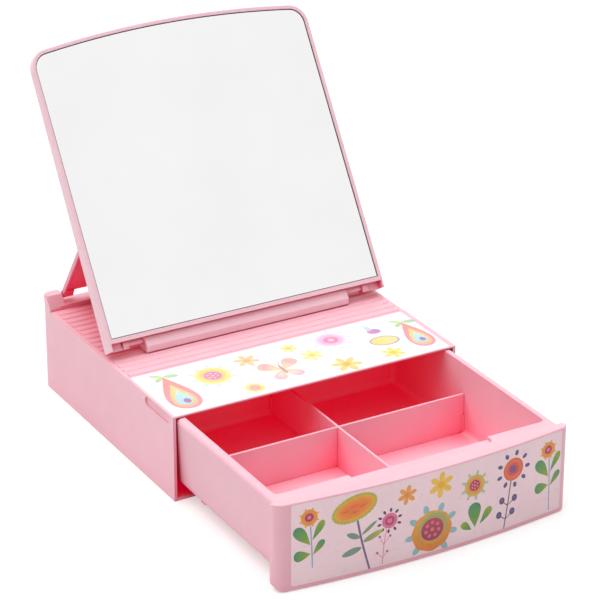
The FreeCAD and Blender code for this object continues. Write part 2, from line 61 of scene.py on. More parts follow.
def add_camera():
    az = math.radians(CAMERA_AZIMUTH)
    el = math.radians(CAMERA_ELEVATION)
    back = Vector((math.sin(az) * math.cos(el), -math.cos(az) * math.cos(el), math.sin(el)))
    level = Vector((0, 0, 1)).cross(back).normalized()
    plumb = back.cross(level)
    roll = math.radians(CAMERA_ROLL)
    right = level * math.cos(roll) + plumb * math.sin(roll)
    up = plumb * math.cos(roll) - level * math.sin(roll)
    turn = Matrix((right, up, back)).transposed().to_4x4()
    data = bpy.data.cameras.new("camera")
    data.lens = CAMERA_LENS
    data.sensor_width = CAMERA_SENSOR
    data.clip_end = CAMERA_REACH
    camera = bpy.data.objects.new("camera", data)
    camera.matrix_world = Matrix.Translation(CAMERA_TARGET + back * CAMERA_DISTANCE) @ turn
    scene.collection.objects.link(camera)
    scene.camera = camera


FLOOR_HALF = 12.0
FLOOR_Z = -0.0002
FLOOR_PAINT = (0.55, 0.55, 0.55, 1.0)
FLOOR_GLOW = 0.50
FLOOR_GLOW_BOUNCED = 0.12


def add_floor():
    """White light table: its glow hides most of the shadow but lights the object only a little."""
    mesh = bpy.data.meshes.new("floor")
    corners = [(-FLOOR_HALF, -FLOOR_HALF, FLOOR_Z), (FLOOR_HALF, -FLOOR_HALF, FLOOR_Z),
               (FLOOR_HALF, FLOOR_HALF, FLOOR_Z), (-FLOOR_HALF, FLOOR_HALF, FLOOR_Z)]
    mesh.from_pydata(corners, [], [(0, 1, 2, 3)])
    floor = bpy.data.objects.new("floor", mesh)
    scene.collection.objects.link(floor)
    table = bpy.data.materials.new("floor_white")
    table.use_nodes = True
    tree = table.node_tree
    shader = tree.nodes["Principled BSDF"]
    shader.inputs["Base Color"].default_value = FLOOR_PAINT
    shader.inputs["Roughness"].default_value = 0.9
    shader.inputs["Specular IOR Level"].default_value = 0.1
    shader.inputs["Emission Color"].default_value = (1.0, 1.0, 1.0, 1.0)
    rays = tree.nodes.new("ShaderNodeLightPath")
    glow = tree.nodes.new("ShaderNodeMapRange")
    glow.inputs["To Min"].default_value = FLOOR_GLOW
    glow.inputs["To Max"].default_value = FLOOR_GLOW_BOUNCED
    tree.links.new(rays.outputs["Is Diffuse Ray"], glow.inputs["Value"])
    tree.links.new(glow.outputs["Result"], shader.inputs["Emission Strength"])
    floor.data.materials.append(table)


SKY_LOW = 0.12
SKY_HIGH = 0.85
SKY_REFLECTED = 0.93
SUN_ENERGY = 2.20
SUN_SPREAD = 70.0
SUN_TURN = (-9.0, -14.0, 0.0)


def add_light():
    """Sky brighter overhead, an even white card for reflections, and one wide soft lamp."""
    add_sky()
    sun = bpy.data.lights.new("overhead", "SUN")
    sun.energy = SUN_ENERGY
    sun.angle = math.radians(SUN_SPREAD)
    lamp = bpy.data.objects.new("overhead", sun)
    lamp.rotation_euler = [math.radians(a) for a in SUN_TURN]
    scene.collection.objects.link(lamp)


def add_sky():
    world = bpy.data.worlds.new("studio")
    world.use_nodes = True
    tree = world.node_tree
    background = tree.nodes["Background"]
    background.inputs["Color"].default_value = (1.0, 0.995, 0.99, 1.0)
    direction = tree.nodes.new("ShaderNodeTexCoord").outputs["Generated"]
    split = tree.nodes.new("ShaderNodeSeparateXYZ")
    tree.links.new(direction, split.inputs["Vector"])
    ramp = tree.nodes.new("ShaderNodeMapRange")
    ramp.inputs["To Min"].default_value = SKY_LOW
    ramp.inputs["To Max"].default_value = SKY_HIGH
    tree.links.new(split.outputs["Z"], ramp.inputs["Value"])
    rays = tree.nodes.new("ShaderNodeLightPath")
    card = tree.nodes.new("ShaderNodeMix")
    tree.links.new(rays.outputs["Is Glossy Ray"], card.inputs["Factor"])
    tree.links.new(ramp.outputs["Result"], card.inputs["A"])
    card.inputs["B"].default_value = SKY_REFLECTED
    tree.links.new(card.outputs["Result"], background.inputs["Strength"])
    scene.world = world


# ---------------------------------------------------------------- materials

def linear(rgb):
    """8-bit display colour to linear."""
    def one(c):
        c = c / 255.0
        return c / 12.92 if c <= 0.04045 else ((c + 0.055) / 1.055) ** 2.4
    return tuple(one(c) for c in rgb)


def rgba(rgb):
    return (*linear(rgb), 1.0)


# Sockets of a Mix node set to colour.
MIX_FACTOR = 0
MIX_A = 6
MIX_B = 7
MIX_RESULT = 2
# Half the width over which a zone ends at a wall, in metres.
WALL_FADE = 0.0002


class Graph:
    """A material's node tree with short calls for the nodes used here."""

    def __init__(self, name):
        self.material = bpy.data.materials.new(name)
        self.material.use_nodes = True
        self.tree = self.material.node_tree
        self.shader = self.tree.nodes["Principled BSDF"]
        self.coords = self.tree.nodes.new("ShaderNodeTexCoord").outputs["Object"]

    def node(self, kind, **values):
        made = self.tree.nodes.new(kind)
        for key, value in values.items():
            setattr(made, key, value)
        return made

    def link(self, source, target):
        self.tree.links.new(source, target)

    def noise(self, scale, detail=3.0, roughness=0.55, stretch=None):
        texture = self.node("ShaderNodeTexNoise")
        texture.inputs["Scale"].default_value = scale
        texture.inputs["Detail"].default_value = detail
        texture.inputs["Roughness"].default_value = roughness
        source = self.coords
        if stretch:
            mapping = self.node("ShaderNodeMapping")
            mapping.inputs["Scale"].default_value = stretch
            self.link(self.coords, mapping.inputs["Vector"])
            source = mapping.outputs["Vector"]
        self.link(source, texture.inputs["Vector"])
        return texture.outputs["Fac"]

    def spread(self, value, low, high, from_low=0.3, from_high=0.7):
        """Remaps value, from_low..from_high to low..high, and clamps it."""
        remap = self.node("ShaderNodeMapRange")
        remap.inputs["From Min"].default_value = from_low
        remap.inputs["From Max"].default_value = from_high
        remap.inputs["To Min"].default_value = low
        remap.inputs["To Max"].default_value = high
        self.link(value, remap.inputs["Value"])
        return remap.outputs["Result"]

    def mix(self, factor, a, b, blend="MIX"):
        """Colour mix; each of factor, a and b is a value or another node's output."""
        mixer = self.node("ShaderNodeMix", data_type="RGBA", blend_type=blend)
        for value, index in ((factor, MIX_FACTOR), (a, MIX_A), (b, MIX_B)):
            if isinstance(value, (float, tuple)):
                mixer.inputs[index].default_value = value
            else:
                self.link(value, mixer.inputs[index])
        return mixer.outputs[MIX_RESULT]

    def bump(self, height, strength, distance, normal=None):
        bump = self.node("ShaderNodeBump")
        bump.inputs["Strength"].default_value = strength
        bump.inputs["Distance"].default_value = distance
        self.link(height, bump.inputs["Height"])
        if normal is not None:
            self.link(normal, bump.inputs["Normal"])
        return bump.outputs["Normal"]

    def openness(self, distance):
        """1 where a surface sees the room, falling to 0 deep in a hollow."""
        hollow = self.node("ShaderNodeAmbientOcclusion", samples=8)
        hollow.inputs["Distance"].default_value = distance
        return hollow.outputs["AO"]

    def times(self, a, b):
        product = self.node("ShaderNodeMath", operation="MULTIPLY")
        self.link(a, product.inputs[0])
        self.link(b, product.inputs[1])
        return product.outputs["Value"]

    def zone(self, half_x, y_front, y_soft, z_low, z_high):
        """1 inside a stretch of the box between its walls, softening towards the front."""
        split = self.node("ShaderNodeSeparateXYZ")
        self.link(self.coords, split.inputs["Vector"])
        across = self.node("ShaderNodeMath", operation="ABSOLUTE")
        self.link(split.outputs["X"], across.inputs[0])
        walls = self.spread(across.outputs["Value"], 1.0, 0.0, half_x - WALL_FADE, half_x + WALL_FADE)
        depth = self.spread(split.outputs["Y"], 0.0, 1.0, y_front, y_front + y_soft)
        above = self.spread(split.outputs["Z"], 0.0, 1.0, z_low - WALL_FADE, z_low + WALL_FADE)
        below = self.spread(split.outputs["Z"], 1.0, 0.0, z_high - WALL_FADE, z_high + WALL_FADE)
        return self.times(self.times(walls, depth), self.times(above, below))

    def soft_edge(self, radius):
        bevel = self.node("ShaderNodeBevel", samples=4)
        bevel.inputs["Radius"].default_value = radius
        return bevel.outputs["Normal"]


WHITE = (1.0, 1.0, 1.0, 1.0)
# The plastic's own pale pink, then the half-shade and full-shade pinks painted into hollows.
PINK_LIGHT = (246, 190, 202)
PINK_HALF_SHADE = (255, 152, 174)
PINK_IN_SHADE = (228, 0, 48)
# Openness at which each of the three pinks is reached; the two deeper ones are painted shade.
SHADE_DEEP_AT = 0.05
HALF_SHADE_AT = 0.30
UNSHADED_AT = 0.55
GLOW = (1.0, 0.0, 0.045, 1.0)
GLOW_STRENGTH = 0.22
# Painted shade in creases: reach of its small occlusion test and the tint it multiplies in.
CREASE_SHADE_REACH = 0.0025
CREASE_SHADE_TINT = (0.82, 0.48, 0.57, 1.0)
# Stretches with the painted glow: half width, front, length of the soft start, bottom and top, in metres.
CASE_HOLLOW = (0.1225, -0.1145, 0.004, 0.0012, 0.0698)
TRAY_HOLLOW = (0.1153, -0.300, 0.190, 0.0090, 0.0690)
LEG_BODY = (0.1120, 0.000, 0.040, 0.0700, 0.1700)


def plastic(name, light, mid, deep, reach=0.075, rough=(0.30, 0.42), edge=0.0006, glow=None):
    """Glossy moulded plastic with painted shade: its colour grows deeper and redder inside a hollow, where
    bounced light would tint it, and a darker painted line runs along its creases.

    Within the glow zone a painted red glow stands in for light shining through from the other side.
    """
    g = Graph(name)
    # Painted shade: the ramp turns the pink deeper and redder as a surface gets less open.
    ramp = g.node("ShaderNodeValToRGB")
    stops = ramp.color_ramp.elements
    stops[0].position, stops[0].color = SHADE_DEEP_AT, rgba(deep)
    stops[1].position, stops[1].color = UNSHADED_AT, rgba(light)
    middle = stops.new(HALF_SHADE_AT)
    middle.color = rgba(mid)
    open_share = g.openness(reach)
    g.link(open_share, ramp.inputs["Fac"])
    # Painted glow in the hollows of the given stretch.
    if glow:
        paint_glow(g, open_share, glow)
    cloud = g.spread(g.noise(34.0, 2.0), 0.0, 1.0)
    tinted = g.mix(cloud, (0.965, 0.955, 0.965, 1.0), WHITE)
    flow = g.spread(g.noise(9.0, 4.0, 0.6, (1.0, 6.0, 1.0)), 0.0, 1.0)
    streaked = g.mix(flow, (0.985, 0.975, 0.98, 1.0), WHITE)
    # Painted shade: a darker pink line where surfaces meet in a crease.
    crease_shade = g.spread(g.openness(CREASE_SHADE_REACH), 0.0, 1.0, 0.35, 0.64)
    crease_shaded = g.mix(crease_shade, CREASE_SHADE_TINT, WHITE)
    shade_lined = g.mix(1.0, ramp.outputs["Color"], crease_shaded, "MULTIPLY")
    shaded = g.mix(1.0, shade_lined, tinted, "MULTIPLY")
    g.link(g.mix(1.0, shaded, streaked, "MULTIPLY"), g.shader.inputs["Base Color"])
    g.link(g.spread(g.noise(160.0, 5.0, 0.65), *rough), g.shader.inputs["Roughness"])
    skin = g.bump(g.noise(2600.0, 2.0, 0.5), 0.10, 0.00004, g.soft_edge(edge))
    g.link(g.bump(g.noise(70.0, 2.0, 0.4), 0.12, 0.0004, skin), g.shader.inputs["Normal"])
    g.shader.inputs["IOR"].default_value = 1.47
    g.shader.inputs["Subsurface Weight"].default_value = 0.12
    g.shader.inputs["Subsurface Radius"].default_value = (1.0, 0.25, 0.35)
    g.shader.inputs["Subsurface Scale"].default_value = 0.003
    return g.material


def paint_glow(g, open_share, stretch):
    """Painted red glow from inside the plastic, standing in for light through its walls, strongest in the
    hollows of one stretch, and less gloss there.
    """
    inside = g.zone(*stretch)
    strength = g.spread(open_share, GLOW_STRENGTH, 0.0, 0.04, 0.55)
    g.shader.inputs["Emission Color"].default_value = GLOW
    g.link(g.times(strength, inside), g.shader.inputs["Emission Strength"])
    g.link(g.spread(inside, 0.5, 0.15, 0.0, 1.0), g.shader.inputs["Specular IOR Level"])


def steel(name):
    g = Graph(name)
    brushed = g.spread(g.noise(900.0, 4.0, 0.6, (0.05, 1.0, 1.0)), 0.0, 1.0)
    g.link(g.mix(brushed, rgba((172, 172, 176)), rgba((212, 212, 214))), g.shader.inputs["Base Color"])
    g.link(g.spread(g.noise(700.0, 3.0), 0.22, 0.38), g.shader.inputs["Roughness"])
    g.link(g.bump(brushed, 0.15, 0.00003), g.shader.inputs["Normal"])
    g.shader.inputs["Metallic"].default_value = 1.0
    return g.material


def silvered_glass(name):
    """Mirror: very smooth, with the faintest cloudiness of cheap silvering and wiped dust."""
    g = Graph(name)
    cloud = g.spread(g.noise(11.0, 3.0), 0.0, 1.0)
    g.link(g.mix(cloud, rgba((250, 250, 251)), rgba((254, 254, 254))), g.shader.inputs["Base Color"])
    wipe = g.noise(60.0, 6.0, 0.7, (1.0, 0.35, 0.35))
    g.link(g.spread(wipe, 0.012, 0.05), g.shader.inputs["Roughness"])
    g.link(g.bump(g.noise(6.0, 1.0), 0.04, 0.0004), g.shader.inputs["Normal"])
    g.shader.inputs["Metallic"].default_value = 1.0
    return g.material


# Near-black paint with fine specks, for the dark line on the glass inside the bezel.
def dark_line_paint(name):
    g = Graph(name)
    specks = g.spread(g.noise(1400.0, 4.0), 0.0, 1.0)
    g.link(g.mix(specks, rgba((44, 30, 32)), rgba((70, 52, 54))), g.shader.inputs["Base Color"])
    g.link(g.spread(g.noise(500.0), 0.35, 0.6), g.shader.inputs["Roughness"])
    g.link(g.bump(specks, 0.2, 0.00005), g.shader.inputs["Normal"])
    return g.material


def paper(name, light, shade):
    """Glossy printed film, very slightly orange-peeled by the glue under it."""
    g = Graph(name)
    cloud = g.spread(g.noise(26.0, 3.0), 0.0, 1.0)
    g.link(g.mix(cloud, rgba(shade), rgba(light)), g.shader.inputs["Base Color"])
    g.link(g.spread(g.noise(220.0, 4.0), 0.24, 0.40), g.shader.inputs["Roughness"])
    peel = g.bump(g.noise(90.0, 1.0), 0.06, 0.0001)
    g.link(g.bump(g.noise(3000.0, 1.0), 0.04, 0.00002, peel), g.shader.inputs["Normal"])
    g.shader.inputs["Coat Weight"].default_value = 0.15
    g.shader.inputs["Coat Roughness"].default_value = 0.2
    return g.material


def ink(name):
    """Printed colour held on the mesh, with the fine mottle of the print screen."""
    g = Graph(name)
    print_color = g.node("ShaderNodeVertexColor", layer_name="ink").outputs["Color"]
    grain = g.spread(g.noise(1500.0, 3.0, 0.7), 0.0, 1.0)
    mottled = g.mix(grain, (0.90, 0.90, 0.90, 1.0), (1.06, 1.06, 1.06, 1.0))
    patches = g.spread(g.noise(190.0, 3.0), 0.0, 1.0)
    wash = g.mix(patches, (0.95, 0.95, 0.95, 1.0), (1.05, 1.05, 1.05, 1.0))
    inked = g.mix(1.0, print_color, mottled, "MULTIPLY")
    g.link(g.mix(1.0, inked, wash, "MULTIPLY"), g.shader.inputs["Base Color"])
    g.link(g.spread(g.noise(400.0, 4.0), 0.26, 0.42), g.shader.inputs["Roughness"])
    g.link(g.bump(grain, 0.08, 0.00003), g.shader.inputs["Normal"])
    g.shader.inputs["Coat Weight"].default_value = 0.15
    g.shader.inputs["Coat Roughness"].default_value = 0.2
    return g.material


def paint_nodes():
    case = plastic("case_pink", PINK_LIGHT, PINK_HALF_SHADE, PINK_IN_SHADE, reach=0.10, glow=CASE_HOLLOW)
    base = plastic("base_pink", PINK_LIGHT, PINK_HALF_SHADE, PINK_IN_SHADE, rough=(0.4, 0.55), glow=CASE_HOLLOW)
    drawer = plastic("drawer_pink", PINK_LIGHT, PINK_HALF_SHADE, PINK_IN_SHADE, reach=0.09, glow=TRAY_HOLLOW)
    divider = plastic("divider_pink", PINK_LIGHT, PINK_HALF_SHADE, PINK_IN_SHADE, reach=0.09, glow=TRAY_HOLLOW)
    # The leg's pinks are deeper than the case's: painted shade under the mirror.
    leg = plastic("leg_pink", (242, 174, 190), (255, 118, 148), PINK_IN_SHADE, reach=0.12, glow=LEG_BODY)
    panel = plastic("frame_pink", (250, 208, 218), PINK_HALF_SHADE, PINK_IN_SHADE, rough=(0.26, 0.38))
    cover = plastic("cover_pink", PINK_LIGHT, PINK_HALF_SHADE, PINK_IN_SHADE, rough=(0.4, 0.55))
    foot = plastic("foot_pink", (255, 214, 224), (255, 182, 200), PINK_IN_SHADE)
    looks = {
        "case_shell": case, "base_plate": base, "drawer_tray": drawer, "cross_divider": divider,
        "long_divider": divider, "stand_leg": leg, "mirror_frame": panel,
        "mirror_glass": silvered_glass("mirror_silver"), "mirror_back_cover": cover, "foot_bar": foot,
    }
    pins = steel("pin_bright")
    for name in ("leg_pin_left", "leg_pin_right", "mirror_pin_left", "mirror_pin_right"):
        looks[name] = pins
    for name, look in looks.items():
        NODES[name].material_slots[0].material = look


# ---------------------------------------------------------------- where the prints lie

# Heights above the labelled surface, in mm.
LABEL_T = 0.10
INK_BASE = 0.05
INK_FIRST = 0.115
INK_STEP = 0.012
CAD_LABEL_T = 0.2

front_low, front_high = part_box("drawer_label")
top_low, top_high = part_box("top_label")
BOW_HALF = 125.0
BOW_RISE = 9.1
BOW_RADIUS = (BOW_HALF ** 2 + BOW_RISE ** 2) / (2.0 * BOW_RISE)
BOW_FRONT = front_low.y / MM + CAD_LABEL_T


def on_front(u, v, height):
    """Point on the bowed drawer front: u across, v up, height out of its surface, in mm."""
    turn = math.asin(u / BOW_RADIUS)
    reach = BOW_RADIUS + height
    return Vector((reach * math.sin(turn), BOW_FRONT + BOW_RADIUS - reach * math.cos(turn), v)) * MM


def on_top(u, v, height):
    """Point on the flat top: u across, v to the rear, height above the case, in mm."""
    return Vector((u, v, top_low.z / MM + height)) * MM


# ---------------------------------------------------------------- printed shapes

# Distance between an island's rings in mm, and the most rings it gets.
RING_STEP = 3.0
MOST_RINGS = 6
STRAIGHT_STEPS = 6
CURVE_STEPS = 5


class Print:
    """Closed thin islands of colour on a surface, gathered into one mesh."""

    def __init__(self, name, place):
        self.name = name
        self.place = place
        self.verts = []
        self.faces = []
        self.colors = []

    def _vertex(self, u, v, height, color):
        self.verts.append(self.place(u, v, height))
        self.colors.append((*linear(color), 1.0))
        return len(self.verts) - 1

    def island(self, outline, centre, layer, color_at):
        """Star-shaped island: rings from its centre to its outline, on top and underneath."""
        size = max(math.dist(p, centre) for p in outline)
        rings = max(2, min(MOST_RINGS, round(size / RING_STEP)))
        top = self._rings(outline, centre, INK_FIRST + INK_STEP * layer, rings, color_at)
        under = self._rings(outline, centre, INK_BASE, rings, color_at)
        self._fill(*top, False)
        self._fill(*under, True)
        upper, lower = top[1][-1], under[1][-1]
        for i in range(len(outline)):
            j = (i + 1) % len(outline)
            self._face((upper[i], lower[i], lower[j], upper[j]), False)

    def _rings(self, outline, centre, height, rings, color_at):
        """Centre vertex and the loops of vertices from it to the outline."""
        hub = self._vertex(*centre, height, color_at(0.0, *centre))
        loops = []
        for k in range(1, rings + 1):
            t = k / rings
            loop = []
            for p in outline:
                u = centre[0] + (p[0] - centre[0]) * t
                v = centre[1] + (p[1] - centre[1]) * t
                loop.append(self._vertex(u, v, height, color_at(t, u, v)))
            loops.append(loop)
        return hub, loops

    def _fill(self, hub, loops, flip):
        """Faces from the centre out to the last loop."""
        count = len(loops[0])
        for i in range(count):
            j = (i + 1) % count
            self._face((hub, loops[0][i], loops[0][j]), flip)
            for inner, outer in zip(loops, loops[1:]):
                self._face((inner[i], outer[i], outer[j], inner[j]), flip)

    def ribbon(self, path, width, layer, color, taper=1.0):
        """A stem along a smoothed path, thinner towards its end."""
        line = smooth(path)
        height = INK_FIRST + INK_STEP * layer
        rows = []
        for k, point in enumerate(line):
            a = line[max(0, k - 1)]
            b = line[min(len(line) - 1, k + 1)]
            ahead = Vector((b[0] - a[0], b[1] - a[1])).normalized()
            across = Vector((-ahead.y, ahead.x))
            half = width / 2.0 * (1.0 + (taper - 1.0) * k / (len(line) - 1))
            left = (point[0] + across.x * half, point[1] + across.y * half)
            right = (point[0] - across.x * half, point[1] - across.y * half)
            rows.append([self._vertex(*left, height, color), self._vertex(*right, height, color),
                         self._vertex(*right, INK_BASE, color), self._vertex(*left, INK_BASE, color)])
        for a, b in zip(rows, rows[1:]):
            for i in range(4):
                j = (i + 1) % 4
                self._face((a[i], a[j], b[j], b[i]), False)
        self._face(tuple(reversed(rows[0])), False)
        self._face(tuple(rows[-1]), False)

    def _face(self, corners, flip):
        self.faces.append(tuple(reversed(corners)) if flip else tuple(corners))

    def build(self, material, body):
        mesh = bpy.data.meshes.new(self.name)
        mesh.from_pydata(self.verts, [], self.faces)
        inks = mesh.color_attributes.new("ink", "FLOAT_COLOR", "POINT")
        for item, color in zip(inks.data, self.colors):
            item.color = color
        mesh.materials.append(material)
        return add_piece(mesh, self.name, body)


def add_piece(mesh, name, body):
    piece = bpy.data.objects.new(name, mesh)
    scene.collection.objects.link(piece)
    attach(piece, body)
    return piece


def smooth(path):
    """Catmull-Rom line through the path's points, or a straight one between two."""
    if len(path) == 2:
        (x0, y0), (x1, y1) = path
        shares = [k / STRAIGHT_STEPS for k in range(STRAIGHT_STEPS + 1)]
        return [(x0 + (x1 - x0) * t, y0 + (y1 - y0) * t) for t in shares]
    ends = [path[0]] + list(path) + [path[-1]]
    line = []
    for i in range(1, len(ends) - 2):
        p0, p1, p2, p3 = ends[i - 1:i + 3]
        for k in range(CURVE_STEPS):
            t = k / CURVE_STEPS
            line.append(tuple(0.5 * (2 * b + (c - a) * t + (2 * a - 5 * b + 4 * c - d) * t * t
                                     + (3 * b - a - 3 * c + d) * t ** 3)
                              for a, b, c, d in zip(p0, p1, p2, p3)))
    line.append(tuple(path[-1]))
    return line


def fade(stops):
    """Colour by distance from the centre, from (t, colour) stops."""
    def at(t, u, v):
        for (t0, c0), (t1, c1) in zip(stops, stops[1:]):
            if t <= t1:
                k = (t - t0) / (t1 - t0)
                return tuple(a + (b - a) * k for a, b in zip(c0, c1))
        return stops[-1][1]
    return at


def flat(color):
    return lambda t, u, v: color


def along(start, end, first, last):
    """Colour by place along a line from start to end."""
    axis = Vector((end[0] - start[0], end[1] - start[1]))

    def at(t, u, v):
        k = (u - start[0]) * axis.x + (v - start[1]) * axis.y
        k = min(1.0, max(0.0, k / axis.length_squared))
        return tuple(a + (b - a) * k for a, b in zip(first, last))
    return at


def oval(cx, cy, rx, ry=None, tilt=0.0, frill=0.0, lobes=0, count=36):
    ry = ry or rx
    a = math.radians(tilt)
    points = []
    for i in range(count):
        t = 2.0 * math.pi * i / count
        swell = 1.0 + frill * math.cos(lobes * t)
        x, y = rx * swell * math.cos(t), ry * swell * math.sin(t)
        points.append((cx + x * math.cos(a) - y * math.sin(a), cy + x * math.sin(a) + y * math.cos(a)))
    return points


def drop_outline(base, tip, width, count=26):
    """Narrow at its base and round at its tip."""
    axis = Vector((tip[0] - base[0], tip[1] - base[1]))
    length = axis.length
    axis.normalize()
    side = Vector((-axis.y, axis.x))
    radius = width / 2.0
    points = []
    for i in range(count):
        t = 2.0 * math.pi * i / count
        reach = length * (0.5 - 0.5 * math.cos(t))
        half = radius * 1.43 * math.sin(t) * math.sin(t / 2.0) ** 1.5
        points.append((base[0] + axis.x * reach + side.x * half, base[1] + axis.y * reach + side.y * half))
    hub = (base[0] + axis.x * length * 0.68, base[1] + axis.y * length * 0.68)
    return points[::-1] if turns_right(points) else points, hub


def leaf_outline(base, tip, width, count=22):
    """Pointed at both ends."""
    axis = Vector((tip[0] - base[0], tip[1] - base[1]))
    side = Vector((-axis.y, axis.x)).normalized()
    points = []
    for i in range(count):
        t = 2.0 * math.pi * i / count
        reach = 0.5 + 0.5 * math.cos(t)
        half = width / 2.0 * math.sin(t) * abs(math.sin(t)) ** 0.35
        points.append((base[0] + axis.x * reach + side.x * half, base[1] + axis.y * reach + side.y * half))
    hub = (base[0] + axis.x * 0.5, base[1] + axis.y * 0.5)
    return points[::-1] if turns_right(points) else points, hub


def turns_right(points):
    area = sum(a[0] * b[1] - b[0] * a[1] for a, b in zip(points, points[1:] + points[:1]))
    return area < 0.0


def ring_of(cx, cy, radius, count, start=90.0):
    """Places around a centre, with the angle of each."""
    for k in range(count):
        angle = start + 360.0 * k / count
        a = math.radians(angle)
        yield cx + radius * math.cos(a), cy + radius * math.sin(a), angle


def daisy(sheet, cx, cy, radius, petals, color, eye, layer=0, start=90.0):
    for x, y, angle in ring_of(cx, cy, radius * 0.58, petals, start):
        sheet.island(oval(x, y, radius * 0.42, radius * 0.23, angle, count=18), (x, y), layer, flat(color))
    sheet.island(oval(cx, cy, radius * 0.26, count=18), (cx, cy), layer + 1, flat(eye))


def rosette(sheet, cx, cy, radius, rim, body, core, seed, ticks, tick_color, layer=1):
    """Round bloom: frilled rim, body, core and seeds, with small lobes around it."""
    for x, y, angle in ring_of(cx, cy, radius * 1.16, ticks, 78.0):
        tick = oval(x, y, radius * 0.22, radius * 0.12, angle, count=14)
        sheet.island(tick, (x, y), layer - 1, flat(tick_color))
    sheet.island(oval(cx, cy, radius, frill=0.03, lobes=9, count=54), (cx, cy), layer, flat(rim))
    sheet.island(oval(cx, cy, radius * 0.84), (cx, cy), layer + 1,
                 fade([(0.0, body), (0.75, body), (1.0, rim)]))
    sheet.island(oval(cx, cy, radius * 0.5, count=26), (cx, cy), layer + 2, flat(core))
    for x, y, _ in ring_of(cx, cy, radius * 0.29, 6):
        sheet.island(oval(x, y, radius * 0.085, count=10), (x, y), layer + 3, flat(seed))
    sheet.island(oval(cx, cy, radius * 0.1, count=12), (cx, cy), layer + 3, flat(seed))


def drop(sheet, base, tip, width, first, last, layer=0):
    points, hub = drop_outline(base, tip, width)
    sheet.island(points, hub, layer, along(base, tip, first, last))


def leaf(sheet, base, tip, width, first, last, layer=0):
    points, hub = leaf_outline(base, tip, width)
    sheet.island(points, hub, layer, along(base, tip, first, last))


# ---------------------------------------------------------------- the drawer's print

GREEN = (156, 170, 26)
TEAL = (66, 140, 100)
SAGE = (128, 152, 112)
GREY_TEAL = (112, 148, 148)
GOLD = (232, 158, 44)
ORANGE = (244, 138, 46)
AMBER = (240, 176, 52)
OLIVE = (188, 182, 74)
MAGENTA = (176, 46, 92)
ROSE = (226, 118, 158)
PLUM = (84, 48, 96)
VIOLET = (116, 92, 142)
SKY = (134, 172, 206)
MINT = (168, 196, 182)


def upright_flower(sheet, cx, foot):
    """A small bloom on a pale stem with four drop-shaped leaves."""
    sheet.ribbon([(cx + 1.0, 50.0), (cx + 2.0, 33.0), (cx + 2.6, foot)], 1.1, 0, SKY, 0.8)
    drop(sheet, (cx + 1.2, 34.5), (cx - 10.8, 50.0), 9.0, GREEN, TEAL, 1)
    drop(sheet, (cx + 2.4, 38.0), (cx + 11.2, 53.0), 5.6, TEAL, GREEN, 1)
    drop(sheet, (cx + 1.4, 27.5), (cx - 11.8, 27.0), 8.6, GREEN, TEAL, 1)
    drop(sheet, (cx + 2.6, 26.0), (cx + 11.4, 37.0), 5.4, GREEN, TEAL, 1)
    for x, y, angle in ring_of(cx, 57.0, 7.0, 8, 68.0):
        sheet.island(oval(x, y, 1.2, 0.8, angle, count=10), (x, y), 0, flat(AMBER))
    sheet.island(oval(cx, 57.0, 6.4, 6.6), (cx, 57.0), 1, fade([(0.0, ORANGE), (0.7, ORANGE), (1.0, GOLD)]))
    sheet.island(oval(cx, 57.2, 3.4, count=22), (cx, 57.2), 2, flat(MAGENTA))
    sheet.island(oval(cx, 57.2, 1.6, count=14), (cx, 57.2), 3, flat(ROSE))


